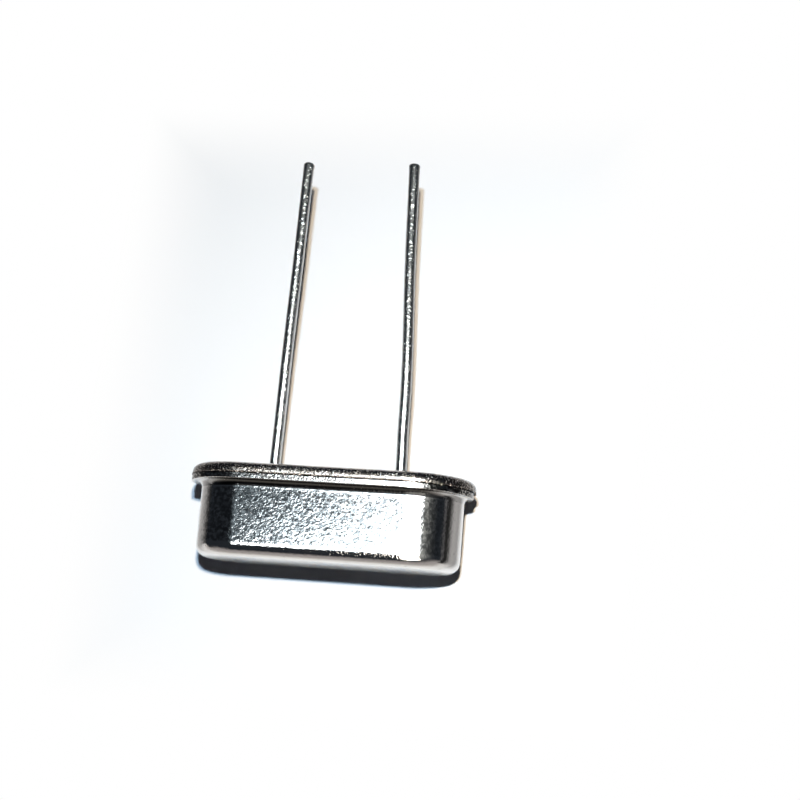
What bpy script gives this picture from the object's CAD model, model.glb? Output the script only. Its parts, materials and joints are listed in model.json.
# %% [markdown]
# # A low-profile quartz crystal, lying on its long side
#
# The part is a drawn metal can welded to a base plate, with two wire leads that leave the plate
# through glass seals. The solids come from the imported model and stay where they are. Each cell
# below adds one thing to them: the camera, the light, a finish, or a more detailed piece that
# stands in for a plain solid.

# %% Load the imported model
import json
import math

import bmesh
import bpy
from mathutils import Matrix, Vector, noise


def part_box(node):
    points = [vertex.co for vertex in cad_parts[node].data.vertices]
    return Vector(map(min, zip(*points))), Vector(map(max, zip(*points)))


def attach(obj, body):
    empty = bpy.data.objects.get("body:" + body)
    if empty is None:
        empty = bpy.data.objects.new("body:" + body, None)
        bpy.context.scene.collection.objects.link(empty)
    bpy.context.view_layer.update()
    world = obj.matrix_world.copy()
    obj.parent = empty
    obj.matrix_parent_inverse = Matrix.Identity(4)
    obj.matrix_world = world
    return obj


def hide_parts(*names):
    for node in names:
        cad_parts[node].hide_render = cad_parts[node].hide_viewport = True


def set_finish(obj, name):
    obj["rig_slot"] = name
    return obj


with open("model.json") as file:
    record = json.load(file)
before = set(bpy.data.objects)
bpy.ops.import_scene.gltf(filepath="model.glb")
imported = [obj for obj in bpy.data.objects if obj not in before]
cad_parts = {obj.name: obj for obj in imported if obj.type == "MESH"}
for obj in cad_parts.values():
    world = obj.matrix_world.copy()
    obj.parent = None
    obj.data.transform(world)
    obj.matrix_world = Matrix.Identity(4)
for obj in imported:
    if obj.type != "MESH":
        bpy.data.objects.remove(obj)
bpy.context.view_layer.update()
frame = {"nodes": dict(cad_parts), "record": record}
print("nodes:", ", ".join(sorted(frame["nodes"])))

# %% [markdown]
# ## The part's own directions
#
# The part lies tilted, resting on its flange and on the can's rim, so its axis is neither level
# nor along a world axis. It is easier to think of it as if it stood on a board: a distance along
# its length, one across its width, and a height measured from the plate's outer face towards the
# can's closed end. The record's seating face gives that plane and its direction, so every point
# below can be written in those three numbers and turned into the world's.

# %% The seating plane gives the part's axes
MM = 0.001
seat = next(m for m in frame["record"]["mounts"] if m["name"] == "seating_face")
SEAT = Vector(seat["pos_m"])
ALONG = Vector((1, 0, 0))
UP_CAN = -Vector(seat["axis"]).normalized()
ACROSS = UP_CAN.cross(ALONG)


def at(x, across, height):
    """A point given in the part's own directions, in millimetres, as a point of the scene."""
    return SEAT + (ALONG * x + ACROSS * across + UP_CAN * height) * MM


print("tilt of the can's axis, degrees:", round(math.degrees(math.asin(-UP_CAN.z)), 2))

# %% [markdown]
# ## The camera
#
# The view looks down steeply from the front right, and is turned a little in its own plane. It
# stands only about six times the part's length away, so near things look clearly larger than far
# ones. A camera can be aimed with a constraint, but here its axes are worked out directly: one
# direction back towards the lens, one up in the picture, and their cross product.

# %% Camera: place, aim and turn
LENS_PLACE = Vector((14.14, -21.853, 57.59)) * MM
AIM = Vector((2.138, -1.019, 2.0135)) * MM
TURN = math.radians(25.243)

back = (LENS_PLACE - AIM).normalized()
level = Vector((0, 0, 1)).cross(back).normalized()
upright = back.cross(level)
up = upright * math.cos(TURN) + level * math.sin(TURN)
right = up.cross(back)


def posed(x_axis, y_axis, z_axis, place):
    """The world matrix of an object with these axes, at this place."""
    rows = [(x_axis[i], y_axis[i], z_axis[i], place[i]) for i in range(3)]
    return Matrix((*rows, (0, 0, 0, 1)))


camera = bpy.data.objects.new("camera", bpy.data.cameras.new("camera"))
bpy.context.scene.collection.objects.link(camera)
camera.matrix_world = posed(right, up, back, LENS_PLACE)
camera.data.lens = 69.9
camera.data.sensor_width = 36
camera.data.clip_start = 0.001
camera.data.clip_end = 10
bpy.context.scene.camera = camera
bpy.context.scene.view_settings.view_transform = "Standard"
print("camera to aim, mm:", round((LENS_PLACE - AIM).length / MM, 1))

# %% [markdown]
# ## Writing a finish as sums
#
# A procedural finish is arithmetic on values that change from point to point. Blender keeps it as
# nodes and links, which are slow to read. The class below wraps one output socket, so that
# `base + 0.2 * grain` adds the Math nodes by itself. Every other node comes from one method.

# %% A socket that can be added and multiplied
class Signal:
    """One output socket of a finish, with arithmetic that adds Math nodes."""

    def __init__(self, finish, socket):
        self.finish = finish
        self.socket = socket

    def math(self, operation, *terms):
        return self.finish.math(operation, *terms)

    def __add__(self, other):
        return self.math("ADD", self, other)

    def __radd__(self, other):
        return self.math("ADD", other, self)

    def __sub__(self, other):
        return self.math("SUBTRACT", self, other)

    def __rsub__(self, other):
        return self.math("SUBTRACT", other, self)

    def __mul__(self, other):
        return self.math("MULTIPLY", self, other)

    def __rmul__(self, other):
        return self.math("MULTIPLY", other, self)

    def __truediv__(self, other):
        return self.math("DIVIDE", self, other)


# %% A finish: a material or a world with its nodes
class Finish:
    """The node tree of a material or a world, started empty."""

    def __init__(self, owner):
        self.owner = owner
        owner.use_nodes = True
        self.tree = owner.node_tree
        self.tree.nodes.clear()

    def node(self, kind, settings=None, sockets=None, output=0):
        """Adds a node: its settings first, then the values or links of its inputs."""
        made = self.tree.nodes.new(kind)
        for name, value in (settings or {}).items():
            if name == "stops":
                self.set_stops(made.color_ramp, value)
            else:
                setattr(made, name, value)
        for name, value in (sockets or {}).items():
            if isinstance(value, Signal):
                self.tree.links.new(value.socket, made.inputs[name])
            else:
                made.inputs[name].default_value = value
        return Signal(self, made.outputs[output]) if len(made.outputs) else made

    @staticmethod
    def set_stops(ramp, stops):
        """Gives a colour ramp its stops: (place, grey level) or (place, colour)."""
        while len(ramp.elements) < len(stops):
            ramp.elements.new(0.5)
        for element, (place, value) in zip(ramp.elements, stops):
            element.position = place
            element.color = (value, value, value, 1) if isinstance(value, float) else (*value, 1)

    def place(self):
        """Where a point lies in the scene, in metres: the nodes' objects all sit at the origin."""
        return self.node("ShaderNodeTexCoord", output="Object")

    def along(self, direction, origin):
        """Distance of a point from a plane, in millimetres."""
        offset = self.node("ShaderNodeVectorMath", {"operation": "SUBTRACT"}, {
            0: self.place(), 1: origin,
        })
        return self.node("ShaderNodeVectorMath", {"operation": "DOT_PRODUCT"}, {
            0: offset, 1: direction / MM,
        }, output="Value")

    def grain(self, size, detail=2.0, rough=0.5, vector=None, seed=0.0):
        """Noise whose features are about `size` millimetres across, from 0 to 1."""
        return self.node("ShaderNodeTexNoise", {"noise_dimensions": "4D"}, {
            "Vector": vector or self.place(), "W": seed, "Scale": 1 / (size * MM),
            "Detail": detail, "Roughness": rough,
        }, output="Fac")

    def streaks(self, sizes, rough, seed):
        """Noise with features of three sizes, along the part's length, its axis and across."""
        tilted = self.node("ShaderNodeMapping", {"vector_type": "TEXTURE"}, {
            "Vector": self.place(), "Rotation": (math.asin(-UP_CAN.z), 0, 0), "Scale": sizes,
        })
        return self.grain(1.0, 3.0, rough, vector=tilted, seed=seed)

    def ramp(self, value, *stops):
        """A colour ramp over a value."""
        return self.node("ShaderNodeValToRGB", {"stops": stops}, {"Fac": value})

    def step(self, value, low, high):
        """0 below `low`, 1 above `high`, smooth between them."""
        return self.node("ShaderNodeMapRange", {"interpolation_type": "SMOOTHSTEP"}, {
            "Value": value, "From Min": low, "From Max": high, "To Min": 0.0, "To Max": 1.0,
        })

    def blend(self, factor, first, second):
        """One colour into another."""
        made = self.tree.nodes.new("ShaderNodeMix")
        made.data_type = "RGBA"
        for name, value in (("Factor_Float", factor), ("A_Color", first), ("B_Color", second)):
            socket = next(s for s in made.inputs if s.identifier == name)
            if isinstance(value, Signal):
                self.tree.links.new(value.socket, socket)
            else:
                socket.default_value = value if name == "Factor_Float" else (*value, 1)
        return Signal(self, next(s for s in made.outputs if s.identifier == "Result_Color"))

    def bump(self, height, depth, strength=1.0, normal=None):
        """Relief from a height of 0 to 1, `depth` in thousandths of a millimetre."""
        sockets = {"Height": height, "Strength": strength, "Distance": depth * 1e-6}
        if normal:
            sockets["Normal"] = normal
        return self.node("ShaderNodeBump", {}, sockets)

    def math(self, operation, *terms):
        """A Math node over values."""
        return self.node("ShaderNodeMath", {"operation": operation}, dict(enumerate(terms)))

    def principled(self, sockets):
        """Ends a finish with a Principled shader that has these inputs."""
        return self.surface(self.node("ShaderNodeBsdfPrincipled", {}, sockets))

    def surface(self, shader):
        """Links the last shader to the output."""
        kind = "World" if isinstance(self.owner, bpy.types.World) else "Material"
        self.node(f"ShaderNodeOutput{kind}", {}, {"Surface": shader})
        return self.owner


def new_finish(name):
    """A fresh material, ready for its nodes."""
    return Finish(bpy.data.materials.new(name))


# %% [markdown]
# ## Floor and surroundings
#
# The floor is a plain white sheet. Close to the part it is an ordinary white surface, so that it
# keeps the shadows. Further out it fades into a white glow that only the camera and reflections
# see, so the picture's background stays white and the metal has something pale to reflect. The
# lamps are close, so the metal sees the sheet grow dimmer with distance at both sides and in
# front, and the glow follows that. The room above is dark for reflections, which gives bright
# metal its dark bands. It has a paler part low down in front, as a bench or a wall there would
# give, a glow high up at the right, a dim ceiling behind, and a faint line along the horizon at
# the right.

# %% The floor
FLOOR_RINGS = (5.0, 15.0, 40.0, 120.0, 600.0)


def make_floor(spokes=96):
    """A round white sheet, made of rings that are closer together under the part."""
    bm = bmesh.new()
    centre = bm.verts.new((0, 0, 0))
    before = None
    for r in FLOOR_RINGS:
        turns = [2 * math.pi * k / spokes for k in range(spokes)]
        ring = [bm.verts.new((r * MM * math.cos(t), r * MM * math.sin(t), 0)) for t in turns]
        for k in range(spokes):
            n = (k + 1) % spokes
            if before is None:
                bm.faces.new((centre, ring[k], ring[n]))
            else:
                bm.faces.new((before[k], ring[k], ring[n], before[n]))
        before = ring
    mesh = bpy.data.meshes.new("floor")
    bm.to_mesh(mesh)
    bm.free()
    floor = bpy.data.objects.new("floor", mesh)
    bpy.context.scene.collection.objects.link(floor)
    return floor


# %% How far out the sheet turns from paper to glow
FADE_ASIDE = (6.4, 11.5)
FADE_BEYOND = (8.4, 13.5)
MIRRORED_FADE_ASIDE = (6.9, 8.6)
MIRRORED_FADE_BEYOND = (9.0, 11.2)
MIRRORED_SHIFT = 1.2


def far_out(paper, sideways, backwards, mirrored):
    """0 on the paper and 1 on the glow, with a fade of its own for reflections."""
    aside = paper.math("ABSOLUTE", sideways)
    beyond = paper.math("ABSOLUTE", backwards)
    mirrored_aside = paper.math("MAXIMUM", sideways + MIRRORED_SHIFT, 0.0 - sideways)
    mirrored_far = paper.math("MAXIMUM", paper.step(mirrored_aside, *MIRRORED_FADE_ASIDE),
                              paper.step(beyond, *MIRRORED_FADE_BEYOND))
    seen_far = paper.math("MAXIMUM", paper.step(aside, *FADE_ASIDE),
                          paper.step(beyond, *FADE_BEYOND))
    return mirrored * mirrored_far + (1 - mirrored) * seen_far


# %% How bright the sheet is in reflections
def mirrored_level(paper, sideways, backwards):
    """The sheet's grey in reflections: it falls off to both sides, behind and in front."""
    dimmed = paper.ramp((sideways + 50.0) / 80.0, (0.09, 0.10), (0.32, 0.20), (0.455, 0.43),
                        (0.51, 0.56), (0.53, 0.66), (0.690, 0.66), (0.698, 0.38), (0.745, 0.52),
                        (0.763, 0.46), (0.80, 0.20), (0.84, 0.07), (0.90, 0.02))
    dimmed = paper.blend(paper.step(backwards, 12.0, 34.0), dimmed, (0.10, 0.10, 0.10))
    ahead = paper.ramp((0.0 - backwards - 10.0) / 40.0, (0.05, (1.0, 1.0, 1.0)),
                       (0.10, (0.88, 0.87, 0.86)), (0.20, (0.66, 0.64, 0.62)),
                       (0.45, (0.55, 0.525, 0.51)), (1.0, (0.47, 0.445, 0.43)))
    off_front = backwards + 0.6 * paper.math("MAXIMUM", sideways - 8.0, 0.0)
    return paper.blend(paper.step(off_front, -11.0, -7.6), ahead, dimmed)


# %% The sheet's white
def white_sheet():
    """White near the part, glowing white further out, dimmer to the sides in reflections."""
    paper = new_finish("white_sheet")
    seen, mirrored, through = [paper.node("ShaderNodeLightPath", output=f"Is {ray} Ray")
                               for ray in ("Camera", "Glossy", "Transmission")]
    seen_at_all = paper.math("MAXIMUM", seen, paper.math("MAXIMUM", mirrored, through))
    sideways = paper.along(Vector((1, 0, 0)), Vector((0, 0, 0)))
    backwards = paper.along(Vector((0, 1, 0)), Vector((0, 0, 0)))
    far = far_out(paper, sideways, backwards, mirrored)
    level = mirrored_level(paper, sideways, backwards)
    sheet = paper.node("ShaderNodeBsdfDiffuse", {}, {"Color": (1.0, 1.0, 1.0, 1)})
    white = paper.node("ShaderNodeEmission", {}, {"Color": (1, 1, 1, 1), "Strength": 1.0})
    reflected = paper.node("ShaderNodeEmission", {}, {"Color": level, "Strength": 1.0})
    glow = paper.node("ShaderNodeMixShader", {}, {0: seen, 1: reflected, 2: white})
    mixed = paper.node("ShaderNodeMixShader", {}, {0: far * seen_at_all, 1: sheet, 2: glow})
    return paper.surface(mixed)


floor = make_floor()
floor.data.materials.append(white_sheet())
print("floor, mm across:", round(floor.dimensions.x / MM))


# %% What reflections see of the room
def mirrored_room(room):
    """Dark, but for a pale part low down in front, a glow, a dim ceiling and a faint line."""
    direction = room.node("ShaderNodeTexCoord", output="Generated")
    rightwards, behind, height = [
        room.node("ShaderNodeSeparateXYZ", {}, {0: direction}, output=axis) for axis in "XYZ"
    ]
    facing = room.node("ShaderNodeVectorMath", {"operation": "DOT_PRODUCT"}, {
        0: direction, 1: (0.10, -0.995, 0.0),
    }, output="Value")
    in_front = room.step(facing, 0.25, 0.70)
    pale = room.ramp(height, (0.0, 0.82), (0.14, 0.74), (0.34, 0.36), (0.46, 0.0))
    ceiling = room.step(height, 0.70, 0.92) * room.step(behind, 0.03, 0.16)
    dark = room.blend(ceiling, (0.022, 0.027, 0.034), (0.11, 0.118, 0.116))
    right_side = room.step(rightwards, 0.15, 0.40) * (1 - room.step(behind, 0.0, 0.15))
    right_glow = room.ramp(height, (0.40, 0.0), (0.58, 0.09), (0.69, 0.24), (0.80, 0.55))
    dark = room.blend(right_glow * right_side, dark, (0.96, 1.0, 0.96))
    low_line = (1 - room.step(height, 0.05, 0.10)) * room.step(rightwards, 0.50, 0.80)
    dark = room.blend(low_line, dark, (0.17, 0.17, 0.175))
    return room.blend(pale * in_front, dark, (0.61, 0.575, 0.56))


# %% The room above the floor
def dark_room():
    """White for the camera, mostly dark for reflections, and dim as a light."""
    room = Finish(bpy.data.worlds.new("dark_room"))
    glossy = room.node("ShaderNodeLightPath", output="Is Glossy Ray")
    camera_ray = room.node("ShaderNodeLightPath", output="Is Camera Ray")
    reflected = room.node("ShaderNodeBackground", {}, {
        "Color": mirrored_room(room), "Strength": 1.0,
    })
    dim = room.node("ShaderNodeBackground", {}, {
        "Color": (0.022, 0.023, 0.027, 1), "Strength": 1.0,
    })
    white = room.node("ShaderNodeBackground", {}, {"Color": (1, 1, 1, 1), "Strength": 1.0})
    mixed = room.node("ShaderNodeMixShader", {}, {0: glossy, 1: dim, 2: reflected})
    mixed = room.node("ShaderNodeMixShader", {}, {0: camera_ray, 1: mixed, 2: white})
    return room.surface(mixed)


bpy.context.scene.world = dark_room()
print("room:", len(bpy.context.scene.world.node_tree.nodes), "nodes")

# %% [markdown]
# ## The lamps
#
# Two small lamps stand side by side near the lens, one cool and one warm, and draw the narrow
# shadows with their blue and tan fringes. Their power follows from the light they should give: a
# white sheet under lamps whose shares add up to 1 looks just white. Bright metal also needs
# something to mirror. Six cards overhead are seen in reflections only and put no light on the
# floor. The first slants like the border that it draws across the can's flat side. The wide one
# whitens that side's right part and the flange, the corner one its lower left corner, and the low
# one its lower edge. The dim one is the haze at the left, and the last draws the line along the
# rim.

# %% Lamps, given by their share of the light
PART_CENTRE = Vector((0.5, -2.0, 2.0)) * MM


def hang(name, data, place, turn=0.0):
    """Hangs a lamp above the part, facing it, hidden from the camera.

    Gives the lamp, and its squared distance over the cosine of its slant.
    """
    made = bpy.data.objects.new(name, data)
    bpy.context.scene.collection.objects.link(made)
    ray = PART_CENTRE - place * MM
    z_axis = -ray.normalized()
    x_axis = Vector((math.cos(math.radians(turn)), math.sin(math.radians(turn)), 0))
    y_axis = z_axis.cross(x_axis).normalized()
    x_axis = y_axis.cross(z_axis)
    made.matrix_world = posed(x_axis, y_axis, z_axis, [v * MM for v in place])
    made.visible_camera = False
    return made, ray.length ** 2 / z_axis.z


def lamp(name, place, diameter, share, colour):
    """A small round lamp that gives `share` of the floor's light."""
    data = bpy.data.lights.new(name, "AREA")
    data.shape = "DISK"
    data.size = diameter * MM
    data.color = colour
    _, reach = hang(name, data, Vector(place))
    data.energy = math.pi ** 2 * share * reach
    print(f"{name}: share {share}, power {data.energy:.4f} W")


def card(name, place, size, glow, colour, turn):
    """A card of (length, width), turned, with the brightness `glow` in reflections."""
    data = bpy.data.lights.new(name, "AREA")
    data.shape = "RECTANGLE"
    data.size = size[0] * MM
    data.size_y = size[1] * MM
    data.color = colour
    made, _ = hang(name, data, Vector(place), turn)
    made.visible_diffuse = False
    data.energy = math.pi * data.size * data.size_y * glow
    print(f"{name}: glow {glow}, power {data.energy:.5f} W")


lamp("cool_lamp", (10.9, -9.2, 60.0), 1.5, 0.51, (0.70, 0.98, 1.28))
lamp("warm_lamp", (13.0, -8.2, 60.0), 1.5, 0.60, (1.20, 1.02, 0.80))
card("slanting_card", (-5.6, -11.7, 60.0), (20.8, 8.0), 8.0, (0.84, 0.98, 1.06), turn=24.6)
card("corner_card", (-18.0, -18.0, 60.0), (8.0, 5.0), 8.0, (0.94, 1.0, 1.04), turn=24.6)
card("wide_card", (15.2, -9.6, 60.0), (40.4, 12.0), 8.0, (0.94, 1.0, 1.04), turn=0.0)
card("low_card", (15.4, -40.0, 60.0), (46.0, 52.0), 8.0, (1.0, 0.96, 0.88), turn=9.0)
card("dim_card", (-20.5, -11.0, 60.0), (13.0, 8.4), 0.36, (0.76, 0.95, 1.06), turn=0.0)
card("rim_card", (-2.2, -2.1, 60.8), (23.6, 8.4), 2.6, (0.98, 1.0, 1.02), turn=0.0)

# %% [markdown]
# ## The part's sizes
#
# The detailed pieces below stand in for plain solids, so they are drawn from the same sizes, in
# millimetres. The flange's length is measured on the solids and not written down again. `DOME`
# and `ASIDE` have no place in the solids: one is how far the closed end bulges, and the other how
# far each wire lies from the middle of its glass.

# %% Sizes, in millimetres
flange_low, flange_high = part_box("base_plate")
FLANGE_L = round((flange_high.x - flange_low.x) / MM, 3)
FLANGE_W = 4.65
CASE_H = 3.5
DOME = 0.045
LEDGE = 0.42
CAN_WALL = 0.25
RIM_R = 0.46
FILLET_R = 0.22
EDGE_R = 0.04
SEAM_R = 0.04
PLATE_T = 0.39
CAN_FLANGE_T = 0.25
PLATE_CORNER_R = 0.3
PLATFORM_H = 0.5
SEAL_D = 1.8
SEAL_DEPTH = 0.04
PITCH = 4.88
WIRE_D = 0.43
WIRE_L = 12.5
STUB = 0.4
BEND_R = 3.0
HEAD_D = 0.9
HEAD_T = 0.15
HEAD_RISE = 0.12
ASIDE = {"left": 0.07, "right": 0.15}

FLANGE_R = FLANGE_W / 2
CAN_R = FLANGE_R - LEDGE
INSIDE_R = CAN_R - CAN_WALL
HALF_STRAIGHT = (FLANGE_L - FLANGE_W) / 2
FLANGE_TOP = PLATE_T + CAN_FLANGE_T
INSIDE_H = CASE_H - CAN_WALL
BROW = CASE_H - RIM_R
PLATFORM_TOP = PLATE_T + PLATFORM_H
print("flange, mm:", FLANGE_L, "x", FLANGE_W, "  half of its straight side:", HALF_STRAIGHT)

# %% [markdown]
# ## Sweeping a section round the case
#
# Can, plate and weld seam share one plan: a rectangle with round ends. Each is a half section,
# given as distance from the middle line and height, carried round that plan. A screw or spin
# modifier turns a section about one axis only, so the rings are placed here point by point.
# A ring just inside each flat keeps its shading flat up to where a curve begins, which matters
# on metal this bright.

# %% Pieces of a section
def arc(centre, radius, first, last, steps):
    """Points on an arc of a section, angles in degrees from the outward direction."""
    turns = [math.radians(first + (last - first) * k / steps) for k in range(steps + 1)]
    return [(centre[0] + radius * math.cos(t), centre[1] + radius * math.sin(t)) for t in turns]


def flat(first, last, margin=0.015):
    """Points inside a straight stretch of a section: one near each end and one between."""
    (r0, h0), (r1, h1) = first, last
    near = min(margin / math.hypot(r1 - r0, h1 - h0), 0.25)
    shares = (near, near + (1 - 2 * near) / 2, 1 - near)
    return [(r0 + (r1 - r0) * s, h0 + (h1 - h0) * s) for s in shares]


def joined(*stretches):
    """A whole section: arcs as they are, with flats filled in between their ends."""
    points = list(stretches[0])
    for stretch in stretches[1:]:
        points += flat(points[-1], stretch[0])
        points += stretch
    return points


# %% Stations round the case
def stations(per_end=48, per_side=30, margin=0.03):
    """(middle x, outward x, outward across) at each station of a plan with round ends."""
    found = []
    for side in (1, -1):
        for k in range(per_end + 1):
            turn = math.radians(-90 + 180 * k / per_end)
            found.append((side * HALF_STRAIGHT, side * math.cos(turn), side * math.sin(turn)))
        reach = HALF_STRAIGHT - margin
        for k in range(per_side + 1):
            found.append((side * (reach - 2 * reach * k / per_side), 0.0, float(side)))
    return found


def new_piece(name, bm, slot_name, *nodes):
    """Turns a bmesh into a smooth-shaded piece that rides on the part and stands for `nodes`."""
    mesh = bpy.data.meshes.new(name)
    bmesh.ops.recalc_face_normals(bm, faces=bm.faces)
    bm.to_mesh(mesh)
    bm.free()
    mesh.polygons.foreach_set("use_smooth", [True] * len(mesh.polygons))
    piece = bpy.data.objects.new(name, mesh)
    bpy.context.scene.collection.objects.link(piece)
    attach(piece, "root")
    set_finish(piece, slot_name)
    if nodes:
        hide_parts(*nodes)
    triangles = sum(len(p.vertices) - 2 for p in mesh.polygons)
    print(f"{name}: {len(mesh.vertices)} points, {triangles} triangles")
    return piece


def bridge(bm, rings, whole=True, again=True):
    """Faces between each ring and the next. A ring that isn't `whole` is open at its ends.

    With `again`, the last ring is joined to the first.
    """
    for ring, following in zip(rings, rings[1:] + (rings[:1] if again else [])):
        for j in range(len(ring) if whole else len(ring) - 1):
            n = (j + 1) % len(ring)
            bm.faces.new((ring[j], ring[n], following[n], following[j]))


def swept(section, plan, relief):
    """A bmesh of the section carried round the plan. `relief` moves a point outwards, in mm."""
    bm = bmesh.new()
    rings = []
    for middle, out_x, out_across in plan:
        ring = []
        for r, h in section:
            out = r + relief(middle, out_x, r, h)
            ring.append(bm.verts.new(at(middle + out * out_x, out * out_across, h)))
        rings.append(ring)
    bridge(bm, rings, whole=False)
    bmesh.ops.remove_doubles(bm, verts=bm.verts, dist=1e-8)
    bmesh.ops.dissolve_degenerate(bm, edges=bm.edges, dist=1e-9)
    return bm


# %% [markdown]
# ## The can
#
# The can is deep-drawn from sheet: a closed end, a rolled rim, straight sides and a flange turned
# out round its mouth. The plain solid has those forms already. The piece here adds what drawing
# and welding leave behind. The closed end bulges very slightly. The long sides are not truly flat
# but dip by a few thousandths of a millimetre between the stiff round ends, which is enough to
# bend a reflection. The flange's edge is set back from the plate's, and more so at the right,
# because the can was welded a little off centre. The piece is hidden from the floor's own bounced
# light, because a mirror this close would spread noisy patches of light into its shadow.

# %% What drawing and welding do to the can
FLARE = 0.0030
FLARE_FADE = 0.06
SIDE_DIP = 0.004
STEP_IN = 0.045
OFF_CENTRE = 0.050


def can_relief(middle, out_x, r, h):
    """The dip of the long sides, and the slight flare where they meet the fillet and the rim."""
    foot = FLANGE_TOP + FILLET_R
    if h > BROW:
        return -FLARE * r / CAN_R
    if h < foot and r > CAN_R - 0.001:
        over_ledge = min(1.0, (r - CAN_R) / (LEDGE - EDGE_R))
        return FLARE * (1 - over_ledge) - (STEP_IN + OFF_CENTRE * out_x) * over_ledge
    if h < foot:
        return 0.0
    flare = math.exp(-(h - foot) / FLARE_FADE) - math.exp(-(BROW - h) / FLARE_FADE)
    flare *= FLARE
    if abs(out_x) > 0.001:
        return flare
    along_side = max(0.0, 1 - (middle / HALF_STRAIGHT) ** 2)
    up_side = (h - foot) / (BROW - foot)
    up_side = max(0.0, 4 * up_side * (1 - up_side))
    return flare - SIDE_DIP * along_side ** 2 * up_side ** 2


# %% The drawn can
rim_section = arc((CAN_R - RIM_R, BROW), RIM_R, 84, 0, 18)
dome_r, dome_h = rim_section[0]
DOME_RINGS = 14
can_section = joined(
    [(dome_r * k / DOME_RINGS, dome_h + DOME * (1 - (k / DOME_RINGS) ** 2))
     for k in range(DOME_RINGS)],
    rim_section,
    [(CAN_R, BROW - 0.04 * k) for k in (1, 2, 3, 4, 5, 6)],
    [(CAN_R, FLANGE_TOP + FILLET_R + 0.03 * k) for k in (7, 6, 5, 4, 3, 2, 1)],
    arc((CAN_R + FILLET_R, FLANGE_TOP + FILLET_R), FILLET_R, 180, 270, 10),
    arc((FLANGE_R - EDGE_R, FLANGE_TOP - EDGE_R), EDGE_R, 90, 0, 7),
    arc((FLANGE_R - SEAM_R, PLATE_T + SEAM_R), SEAM_R, 0, -90, 4),
    [(INSIDE_R, PLATE_T)],
    arc((INSIDE_R - RIM_R + CAN_WALL, INSIDE_H - RIM_R + CAN_WALL), RIM_R - CAN_WALL, 0, 90, 8),
    [(0.0, INSIDE_H)],
)
can_piece = new_piece("drawn_can", swept(can_section, stations(), can_relief),
                      "can_nickel", "can")
can_piece.visible_diffuse = False

# %% [markdown]
# ## The weld seam
#
# The two flanges are welded by one pulse of current. It squeezes a thin, uneven line of metal out
# of the joint, bright where it wetted the edge and dark where it didn't. A texture alone would
# leave the outline straight, so the line is a thin bead of its own, swollen here and there.

# %% The bead along the seam
BEAD_R = 0.010
BEAD_SWELL = 0.034
BEAD_IN = 0.022
BEAD_SPOKES = 8


def weld_bead():
    """A thin bead along the seam. Its thickness and height wander along the edge."""
    plan = stations(per_end=420, per_side=420, margin=0.004)
    bm = bmesh.new()
    rings = []
    for middle, out_x, out_across in plan:
        here = Vector((middle + FLANGE_R * out_x, FLANGE_R * out_across, 0.0))
        lump = noise.noise(here * 8.0) + 1.1 * noise.noise(here * 21.0)
        drift = 0.016 * noise.noise(here * 3.1 + Vector((9, 2, 5)))
        drift += 0.020 * noise.noise(here * 17.0 + Vector((3, 7, 1)))
        thick = BEAD_R + BEAD_SWELL * max(-0.28, min(1.0, lump))
        ring = []
        for k in range(BEAD_SPOKES):
            turn = 2 * math.pi * k / BEAD_SPOKES
            r = FLANGE_R - BEAD_IN + thick * 1.10 * math.cos(turn)
            h = PLATE_T + drift + thick * 0.95 * math.sin(turn)
            ring.append(bm.verts.new(at(middle + r * out_x, r * out_across, h)))
        rings.append(ring)
    bridge(bm, rings)
    return bm


bead_piece = new_piece("weld_bead", weld_bead(), "base_nickel")

# %% [markdown]
# ## The glass seals
#
# Molten glass wets metal. It creeps up the wire and up the wall of its hole, and leaves a shallow
# dish between them. The plain solid is a flat-faced ring. This piece is a section turned about
# the hole's middle, with both menisci. The wire isn't quite in the middle of its hole, so the
# section leans towards it.

# %% Glass with a meniscus at the wire and at the hole
DISH = 0.012
WALL_CLIMB = (0.036, 0.05)
WIRE_CLIMB = (0.075, 0.06)


def climb(distance, height, reach):
    """How high molten glass creeps, at a distance from the metal that it wets."""
    return height * math.exp(-distance / reach)


def leaning(r, h, aside):
    """How far aside the glass lies: not at all at the hole's wall, and fully at the wire."""
    inwards = (SEAL_D / 2 - r) / (SEAL_D / 2 - WIRE_D / 2)
    return aside * inwards * (1 - max(0.0, h) / PLATFORM_TOP)


def turned(section, x, aside, spokes=72):
    """A bmesh of a section turned about a wire's place on the plate.

    The wire meets the plate's face `aside` millimetres from the hole's middle.
    """
    bm = bmesh.new()
    rings = []
    for k in range(spokes):
        turn = 2 * math.pi * k / spokes
        rings.append([bm.verts.new(at(x + leaning(r, h, aside) + r * math.cos(turn),
                                      r * math.sin(turn), h)) for r, h in section])
    bridge(bm, rings)
    bmesh.ops.remove_doubles(bm, verts=bm.verts, dist=1e-8)
    return bm


def seal_section(steps=24):
    """From the hole's wall to the wire: a dish between two menisci, then straight back inside."""
    wall, core = SEAL_D / 2, WIRE_D / 2
    face = []
    for k in range(steps + 1):
        r = wall + (core - wall) * k / steps
        crept = climb(wall - r, *WALL_CLIMB) + climb(r - core, *WIRE_CLIMB)
        face.append((r, SEAL_DEPTH + DISH - crept))
    return face + [(core, PLATFORM_TOP), (wall, PLATFORM_TOP)]


seal_pieces = [
    new_piece(f"glass_{side}", turned(seal_section(), sign * PITCH / 2, ASIDE[side]), "seal_glass",
              f"glass_seal_{side}")
    for side, sign in (("left", -1), ("right", 1))
]

# %% [markdown]
# ## The leads
#
# A lead is a drawn wire that was cut by shears. It isn't quite straight, its skin is slightly
# uneven, and its cut end is a slanted face with a small lip. A curve with a round bevel would
# give a perfect tube, so the wire is made of rings along its path, each nudged a little, and the
# last rings are tilted and pinched to make the cut. Both wires leave the glass a little to the
# right of their places, because plate and can were welded off centre.

# %% The path of a wire
ASIDE_UNTIL = 0.9
ASIDE_FADE = 2.2


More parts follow.
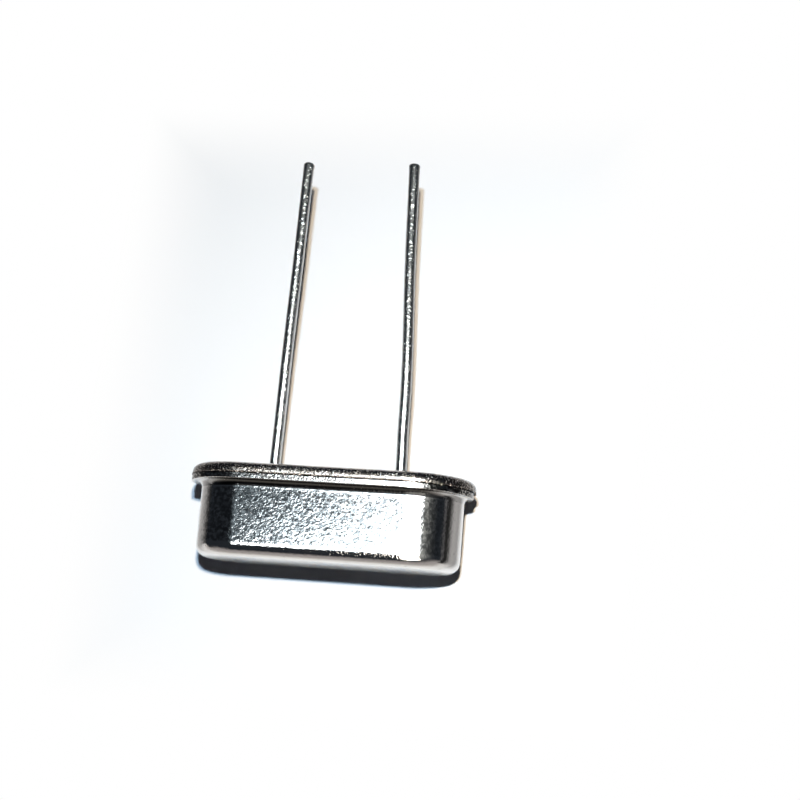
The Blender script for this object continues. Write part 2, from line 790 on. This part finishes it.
def wire_path(lean, count=150):
    """(sideways, height, lean in radians) along a wire, from its head to its cut end."""
    angle = math.radians(lean)
    bent = BEND_R * angle
    reach = WIRE_L - STUB - bent
    top = PLATFORM_TOP + HEAD_RISE
    total = top + STUB + bent + reach
    path = []
    for k in range(count + 1):
        s = total * k / count
        if s < top + STUB:
            path.append((0.0, top - s, 0.0))
            continue
        s -= top + STUB
        turn = min(s / BEND_R, angle)
        past = max(0.0, s - bent)
        sideways = BEND_R * (1 - math.cos(turn)) + past * math.sin(angle)
        height = -STUB - BEND_R * math.sin(turn) - past * math.cos(angle)
        path.append((sideways, height, turn))
    return path


def shifted(height, aside, kept):
    """How far a wire lies aside at a height: grows through the glass, then straightens out."""
    if height > 0:
        return aside * max(0.0, 1 - height / PLATFORM_TOP)
    return kept + (aside - kept) * math.exp(min(0.0, height + ASIDE_UNTIL) / ASIDE_FADE)


# %% A wire with small wanders and a sheared end
WIRE_SPOKES = 32
WANDER = 0.008
LIFT = 0.010
UNEVEN = 0.0022
HEAD_EDGE = 0.03
CUT_PINCH = 0.35
CUT_SLIDE = 0.22
CUT_LIP = ((0.93, -0.020), (0.80, -0.030), (0.45, -0.022), (0.02, -0.016))


def head_rings(x):
    """Rings of the flattened head, from its middle round its edge and back in to the wire."""
    top = PLATFORM_TOP + HEAD_RISE + HEAD_T
    under = top - HEAD_T
    full, flat_r = HEAD_D / 2, HEAD_D / 2 - HEAD_EDGE
    profile = (
        (top, 0.001), (top, flat_r), (top - HEAD_EDGE, full),
        (under + HEAD_EDGE, full), (under, flat_r), (under, WIRE_D / 2 + 0.01),
    )
    turns = [2 * math.pi * k / WIRE_SPOKES for k in range(WIRE_SPOKES)]
    return [[(x + r * math.cos(t), r * math.sin(t), h) for t in turns] for h, r in profile]


def end_rings(last):
    """The cut end's face: rings inside the last one, each pushed out by a little."""
    middle = [sum(p[i] for p in last) / len(last) for i in range(3)]
    return [[tuple(middle[i] + (p[i] - middle[i]) * share + (push if i == 2 else 0)
                   for i in range(3)) for p in last] for share, push in CUT_LIP]


def wire_mesh(x, towards, lean, seed, cut_slant, bow, aside, kept):
    """The whole lead: a flattened head inside the can, the wire, and its cut end.

    `bow` is how far it bulges outwards, in millimetres, a third of the way along. The wire leaves
    the glass `aside` of its nominal place, and `kept` millimetres of that remain at its tip.
    """
    r = WIRE_D / 2
    path = wire_path(lean)
    rings = head_rings(x)
    end = path[-1][1]
    for sideways, height, turn in path[1:]:
        past = max(0.0, -height - 0.6)
        wander = WANDER * math.sin(past * 0.9 + seed) * min(1.0, past / 3)
        wander -= bow * math.sin(math.pi * min(1.0, past / 9.5) ** 0.8) ** 2
        lift = LIFT * math.sin(past * 0.7 + 2 * seed) * min(1.0, past / 3)
        shift = shifted(height, aside, kept)
        from_end = height - end
        pinch = max(0.0, 1 - from_end / CUT_PINCH)
        ring = []
        for k in range(WIRE_SPOKES):
            angle = 2 * math.pi * k / WIRE_SPOKES
            out_x, out_w = math.cos(angle), math.sin(angle)
            spot = Vector((out_x * 1.2 + seed, out_w * 1.2, height * 2.2))
            rough = UNEVEN * noise.noise(spot * 3.0) if height < -0.1 else 0.0
            px = (r + rough) * out_x * (1 + 0.05 * pinch)
            pw = (r + rough) * out_w * (1 - 0.16 * pinch * pinch)
            slide = (cut_slant * pw + abs(cut_slant) * r) * max(0.0, 1 - from_end / CUT_SLIDE)
            side = sideways + px * math.cos(turn)
            ring.append((x + towards * (side + wander) + shift, pw + lift,
                         height + px * math.sin(turn) + slide))
        rings.append(ring)
    rings += end_rings(rings[-1])
    bm = bmesh.new()
    made = [[bm.verts.new(at(*p)) for p in ring] for ring in rings]
    bridge(bm, made, again=False)
    bm.faces.new(made[0])
    bm.faces.new(made[-1])
    return bm


left_wire = wire_mesh(-PITCH / 2, towards=1, lean=1.1, seed=0.7, cut_slant=-0.55, bow=0.0,
                      aside=ASIDE["left"], kept=0.045)
right_wire = wire_mesh(PITCH / 2, towards=-1, lean=1.6, seed=2.9, cut_slant=-0.35, bow=0.11,
                       aside=ASIDE["right"], kept=0.030)
lead_pieces = [
    new_piece("wire_left", left_wire, "lead_tin", "lead_left"),
    new_piece("wire_right", right_wire, "lead_tin", "lead_right"),
]

# %% [markdown]
# ## Bright nickel for the can
#
# Bright nickel is a mirror with an orange-peel skin: hills a tenth of a millimetre across and a
# few micrometres high. They scatter the cards' reflections into bright flecks. Sheet is rougher
# where it was bent least, so the peel, its wrinkles and its dull dimples are strongest on the flat
# sides. Drawing adds fine marks that run from rim to flange and burnishes the rim, and handling
# adds a few pits and scuffs. The closed end is a little duller, and the ledge is dark. Round the
# seam the weld has left its own roughness, dark spots and a touch of straw-coloured heat tint.
# Hills this small don't show in the outline, so they are bumps in the shading and not a mesh.

# %% Distance from the case's middle line
def from_middle_line(finish):
    """How far out a point lies on the case's plan: even along a straight side and round an end."""
    past_side = finish.math("ABSOLUTE", finish.along(ALONG, SEAT)) - HALF_STRAIGHT
    past_side = finish.math("MAXIMUM", past_side, 0.0)
    across = finish.along(ACROSS, SEAT)
    return finish.math("SQRT", past_side * past_side + across * across)


def spots(finish):
    """Dark specks that the weld left on the rim: mostly at the left and round the ends."""
    sideways = finish.along(ALONG, SEAT)
    where = finish.math("MAXIMUM", 1 - finish.step(sideways, -4.6, -1.4),
                        finish.step(sideways, 3.2, 4.2))
    return where * (1 - finish.step(finish.grain(0.080, 1.0, 0.5, seed=16.0), 0.51, 0.60))


# %% The can's finish
def bright_nickel():
    metal = new_finish("bright_nickel")
    height = metal.along(UP_CAN, SEAT)
    outwards = from_middle_line(metal)
    past_middle = metal.math("ABSOLUTE", metal.along(ALONG, SEAT))
    over_round = metal.step(past_middle, 3.6, 4.8)
    near_seam = 1 - metal.step(height, FLANGE_TOP - 0.03, FLANGE_TOP + 0.01)
    on_ledge = metal.step(height, FLANGE_TOP - 0.05, FLANGE_TOP - 0.02)
    on_fillet = metal.step(height, FLANGE_TOP + 0.06, FLANGE_TOP + 0.13)
    on_ledge = on_ledge * (1 - metal.step(height, FLANGE_TOP + 0.22, FLANGE_TOP + 0.26))
    on_ledge = on_ledge * (1 - metal.step(outwards, FLANGE_R - 0.12, FLANGE_R - 0.07))
    on_ledge = on_ledge * (1 - 0.8 * metal.step(past_middle, 3.7, 5.0))
    in_seam = 1 - metal.step(height, PLATE_T + 0.045, PLATE_T + 0.062)
    peel = metal.grain(0.070, 2.0, 0.60, seed=1.0)
    cells = metal.node("ShaderNodeTexVoronoi", {"feature": "SMOOTH_F1"}, {
        "Vector": metal.place(), "Scale": 1 / (0.110 * MM), "Smoothness": 0.20,
    }, output="Distance")
    wrinkle = metal.math("ABSOLUTE", metal.grain(0.16, 1.0, 0.5, seed=3.0) - 0.5)
    wrinkle = metal.step(wrinkle, 0.0, 0.07)
    patch = metal.grain(0.26, 2.0, 0.5, seed=6.0)
    broad = metal.grain(0.9, 1.0, 0.5, seed=4.0)
    drawn = metal.streaks((0.035, 1.6, 0.035), 0.6, seed=2.0)
    peel_strength = 1 - 0.15 * over_round
    relief = metal.bump(peel * 0.8 + cells * 0.7, 3.1, strength=peel_strength)
    relief = metal.bump(wrinkle, 0.8, strength=peel_strength, normal=relief)
    relief = metal.bump(patch, 3.0, normal=relief)
    relief = metal.bump(broad, 5.0, normal=relief)
    relief = metal.bump(drawn, 0.3, strength=1 - near_seam, normal=relief)
    spatter = metal.grain(0.085, 1.0, 0.5, seed=5.0)
    relief = metal.bump(spatter, 9.0, strength=near_seam, normal=relief)
    on_sides = (1 - metal.step(past_middle, 4.2, 4.9)) * (1 - metal.step(
        height, BROW - 0.10, BROW - 0.02))
    above_foot = metal.step(height, FLANGE_TOP + FILLET_R + 0.02, FLANGE_TOP + FILLET_R + 0.12)
    mottle = metal.step(metal.grain(0.13, 2.0, 0.5, seed=8.0), 0.36, 0.66)
    clouds = metal.step(metal.grain(0.50, 2.0, 0.5, seed=10.0), 0.34, 0.60)
    mottle = mottle * (0.60 + 0.40 * clouds)
    dimple = (1 - mottle) * (0.06 + 0.94 * on_sides) * (1 - 0.3 * over_round) * above_foot
    smear = metal.grain(0.7, 4.0, 0.6, seed=7.0)
    dull = metal.step(smear, 0.52, 0.78)
    pits = metal.step(metal.grain(0.055, 1.0, 0.5, seed=9.0), 0.68, 0.76)
    at_end = metal.step(height, CASE_H - 0.04, CASE_H)
    on_rim = metal.step(height, BROW + 0.28, BROW + 0.42)
    spotted = near_seam * spots(metal)
    tint = metal.blend(0.35 * near_seam + 0.22 * dull, (0.66, 0.635, 0.615), (0.56, 0.52, 0.46))
    tint = metal.blend(0.90 * dimple, tint, (0.130, 0.133, 0.135))
    tint = metal.blend(0.6 * on_rim, tint, (0.84, 0.82, 0.79))
    outer = metal.step(outwards, CAN_R + 0.12, FLANGE_R - 0.08)
    ledge_tint = metal.blend(outer, (0.085, 0.082, 0.070), (0.20, 0.19, 0.16))
    ledge_tint = metal.blend(on_fillet, ledge_tint, (0.020, 0.020, 0.020))
    tint = metal.blend((0.94 + 0.06 * on_fillet) * on_ledge, tint, ledge_tint)
    tint = metal.blend(0.90 * in_seam, tint, (0.04, 0.035, 0.035))
    tint = metal.blend(0.92 * spotted, tint, (0.03, 0.03, 0.03))
    colour = metal.blend(0.65 * pits, tint, (0.18, 0.17, 0.16))
    roughness = 0.070 + 0.04 * dull + 0.05 * over_round + 0.03 * near_seam + 0.12 * pits
    roughness = roughness + 0.10 * on_ledge + 0.14 * at_end
    return metal.principled({
        "Base Color": colour, "Metallic": 1.0, "Roughness": roughness, "Normal": relief,
    })


# %% [markdown]
# ## Satin nickel for the base plate
#
# The plate is thicker sheet, stamped and plated with the same nickel, but tumbled first, so it
# shines less and has a faint warm cast. Its rim was pressed by the welding ring and is smoother.
# Weld spatter dries there as pale specks, between small hollows and dark spots, on a straw-brown
# heat tint that fades within a few tenths of a millimetre from the seam. The bead shares this
# finish.

# %% The base plate's finish
def satin_nickel():
    metal = new_finish("satin_nickel")
    from_seam = metal.math("ABSOLUTE", metal.along(UP_CAN, SEAT) - PLATE_T)
    at_seam = 1 - metal.step(from_seam, 0.02, 0.30)
    tumbled = metal.grain(0.055, 4.0, 0.65, seed=11.0)
    patches = metal.grain(0.6, 3.0, 0.55, seed=12.0)
    specks = metal.step(metal.grain(0.05, 2.0, 0.6, seed=13.0), 0.56, 0.66)
    hollows = metal.step(metal.grain(0.04, 1.0, 0.5, seed=14.0), 0.66, 0.76)
    outwards = from_middle_line(metal)
    on_rim = metal.step(outwards, FLANGE_R - PLATE_CORNER_R, FLANGE_R - 0.15)
    relief = metal.bump(tumbled, 2.0)
    spatter = metal.grain(0.085, 1.0, 0.5, seed=15.0)
    relief = metal.bump(spatter, 14.0, strength=on_rim, normal=relief)
    relief = metal.bump(specks - 0.8 * hollows, 3.0, strength=on_rim, normal=relief)
    relief = metal.bump(patches, 2.5, normal=relief)
    warm = metal.blend(metal.step(patches, 0.35, 0.70), (0.66, 0.615, 0.575), (0.60, 0.55, 0.51))
    tinted = metal.blend(0.50 * at_seam, warm, (0.42, 0.36, 0.31))
    speckled = metal.blend(0.8 * specks * at_seam, tinted, (0.80, 0.78, 0.75))
    in_seam = (1 - metal.step(from_seam, 0.046, 0.064)) * (1 - metal.step(
        outwards, FLANGE_R - 0.030, FLANGE_R - 0.012))
    speckled = metal.blend(0.90 * in_seam, speckled, (0.04, 0.035, 0.035))
    speckled = metal.blend(0.75 * on_rim * spots(metal), speckled, (0.04, 0.035, 0.035))
    colour = metal.blend(0.8 * hollows * on_rim, speckled, (0.10, 0.09, 0.09))
    roughness = 0.16 + 0.12 * tumbled + 0.06 * patches - 0.135 * on_rim
    roughness = roughness + 0.24 * specks * on_rim
    return metal.principled({
        "Base Color": colour, "Metallic": 1.0, "Roughness": roughness, "Normal": relief,
    })


# %% [markdown]
# ## Tinned wire
#
# The leads are an iron-nickel wire, drawn and then tinned by dipping. Drawing leaves streaks that
# run along the wire, and the tin has gathered into slow waves with a few dull patches. The
# sheared end has no tin: it shows the grey wire itself, scored across by the blade.

# %% The leads' finish
def tinned_wire():
    metal = new_finish("tinned_wire")
    height = metal.along(UP_CAN, SEAT)
    streaks = metal.streaks((0.030, 0.75, 0.030), 0.6, seed=21.0)
    waves = metal.grain(0.45, 2.0, 0.5, seed=22.0)
    frost = metal.grain(0.035, 3.0, 0.6, seed=23.0)
    dull = metal.step(waves, 0.50, 0.72)
    cut = 1 - metal.step(height + WIRE_L, 0.02, 0.12)
    dents = metal.step(metal.grain(0.09, 2.0, 0.6, seed=24.0), 0.54, 0.68)
    relief = metal.bump(streaks, 3.0)
    relief = metal.bump(frost, 2.2, normal=relief)
    relief = metal.bump(1 - dents, 6.0, normal=relief)
    relief = metal.bump(waves, 9.0, normal=relief)
    tin = metal.blend(metal.step(streaks, 0.35, 0.65), (0.50, 0.50, 0.49), (0.66, 0.66, 0.645))
    tin = metal.blend(0.35 * dull, tin, (0.46, 0.455, 0.44))
    tin = metal.blend(0.35 * dents, tin, (0.34, 0.34, 0.33))
    colour = metal.blend(0.8 * cut, tin, (0.30, 0.29, 0.28))
    roughness = 0.165 + 0.07 * dull + 0.06 * frost + 0.20 * cut
    return metal.principled({
        "Base Color": colour, "Metallic": 1.0, "Roughness": roughness, "Normal": relief,
    })


# %% [markdown]
# ## Sealing glass
#
# The seals are a dark red-brown glass, fused at red heat. It is smooth where it froze freely, with
# slow ripples, a few small bubbles just under the skin, and a paler ring where it wetted the
# oxidised metal of the wire and of the hole.

# %% The seals' finish
def sealing_glass():
    glass = new_finish("sealing_glass")
    from_wire = []
    for sign in (-1, 1):
        sideways = glass.along(ALONG, at(sign * PITCH / 2, 0, 0))
        across = glass.along(ACROSS, SEAT)
        from_wire.append(glass.math("SQRT", sideways * sideways + across * across))
    radius = glass.math("MINIMUM", from_wire[0], from_wire[1])
    rim = glass.math("MAXIMUM", 1 - glass.step(radius, WIRE_D / 2, WIRE_D / 2 + 0.09),
                     glass.step(radius, SEAL_D / 2 - 0.10, SEAL_D / 2))
    clouds = glass.grain(0.32, 3.0, 0.6, seed=31.0)
    bubbles = glass.node("ShaderNodeTexVoronoi", {"feature": "F1"}, {
        "Vector": glass.place(), "Scale": 1 / (0.16 * MM), "Randomness": 1.0,
    }, output="Distance")
    dots = 1 - glass.step(bubbles, 0.10, 0.20)
    ripples = glass.grain(0.25, 1.0, 0.5, seed=32.0)
    relief = glass.bump(ripples, 6.0)
    relief = glass.bump(dots, 2.5, normal=relief)
    body = glass.blend(clouds, (0.050, 0.012, 0.016), (0.115, 0.028, 0.030))
    body = glass.blend(0.5 * dots, body, (0.20, 0.09, 0.08))
    colour = glass.blend(0.55 * rim, body, (0.23, 0.12, 0.10))
    return glass.principled({
        "Base Color": colour, "Roughness": 0.06 + 0.10 * rim + 0.05 * clouds, "Normal": relief,
        "Coat Weight": 0.4 + 0.2 * clouds, "Coat Roughness": 0.03, "IOR": 1.52,
    })


# %% [markdown]
# ## Finishes inside the can
#
# Nobody sees these unless the can is lifted off, but each is what its piece is made of: rolled
# nickel silver for the springs, lapped quartz for the blank, evaporated silver for its
# electrodes and silver-filled adhesive for the two dots that hold and connect it.

# %% The springs: rolled nickel silver
def rolled_sheet():
    metal = new_finish("rolled_sheet")
    rolled = metal.streaks((0.9, 0.022, 0.022), 0.65, seed=41.0)
    stain = metal.step(metal.grain(0.5, 3.0, 0.6, seed=42.0), 0.48, 0.75)
    colour = metal.blend(rolled, (0.56, 0.52, 0.44), (0.70, 0.66, 0.58))
    colour = metal.blend(0.4 * stain, colour, (0.50, 0.42, 0.32))
    return metal.principled({
        "Base Color": colour, "Metallic": 1.0, "Roughness": 0.20 + 0.14 * rolled + 0.10 * stain,
        "Normal": metal.bump(rolled, 1.8),
    })


# %% The blank: lapped quartz
def lapped_quartz():
    stone = new_finish("lapped_quartz")
    grit = stone.grain(0.020, 2.0, 0.7, seed=51.0)
    veil = stone.grain(0.9, 3.0, 0.5, seed=52.0)
    chips = stone.step(stone.grain(0.06, 1.0, 0.5, seed=53.0), 0.72, 0.80)
    colour = stone.blend(veil, (0.70, 0.74, 0.76), (0.84, 0.86, 0.86))
    colour = stone.blend(0.6 * chips, colour, (0.93, 0.94, 0.94))
    return stone.principled({
        "Base Color": colour, "Roughness": 0.30 + 0.16 * grit + 0.15 * chips, "IOR": 1.544,
        "Transmission Weight": 0.35, "Normal": stone.bump(grit, 1.6),
    })


# %% The electrodes: evaporated silver
def silver_film():
    metal = new_finish("silver_film")
    lapping = metal.grain(0.024, 2.0, 0.7, seed=61.0)
    tarnish = metal.step(metal.grain(0.8, 4.0, 0.6, seed=62.0), 0.45, 0.80)
    colour = metal.blend(tarnish, (0.88, 0.875, 0.86), (0.74, 0.67, 0.54))
    return metal.principled({
        "Base Color": colour, "Metallic": 1.0, "Roughness": 0.22 + 0.12 * lapping + 0.08 * tarnish,
        "Normal": metal.bump(lapping, 1.3),
    })


# %% The dots: adhesive filled with silver flakes
def silver_adhesive():
    paste = new_finish("silver_adhesive")
    flakes = paste.node("ShaderNodeTexVoronoi", {"feature": "F1"}, {
        "Vector": paste.place(), "Scale": 1 / (0.030 * MM), "Randomness": 1.0,
    }, output="Color")
    glint = paste.step(paste.node("ShaderNodeSeparateColor", {}, {0: flakes}), 0.55, 0.75)
    lumps = paste.grain(0.12, 3.0, 0.6, seed=72.0)
    colour = paste.blend(glint, (0.30, 0.30, 0.29), (0.66, 0.66, 0.65))
    return paste.principled({
        "Base Color": colour, "Metallic": 0.35 + 0.55 * glint, "Roughness": 0.52 - 0.18 * glint,
        "Normal": paste.bump(lumps, 9.0),
    })


# %% One finish for each slot
finishes = {
    "can_nickel": bright_nickel(),
    "base_nickel": satin_nickel(),
    "lead_tin": tinned_wire(),
    "seal_glass": sealing_glass(),
    "spring_metal": rolled_sheet(),
    "quartz": lapped_quartz(),
    "silver_film": silver_film(),
    "adhesive": silver_adhesive(),
}
for slot_name, finish in finishes.items():
    print(f"{slot_name}: {finish.name}, {len(finish.node_tree.nodes)} nodes")

# %% Each node and piece gets the finish of its slot
for node in frame["nodes"].values():
    for place in node.material_slots:
        place.material = finishes[place.material.name.split(".")[0]]
for piece in [can_piece, bead_piece, *seal_pieces, *lead_pieces]:
    piece.data.materials.append(finishes[piece["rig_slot"]])
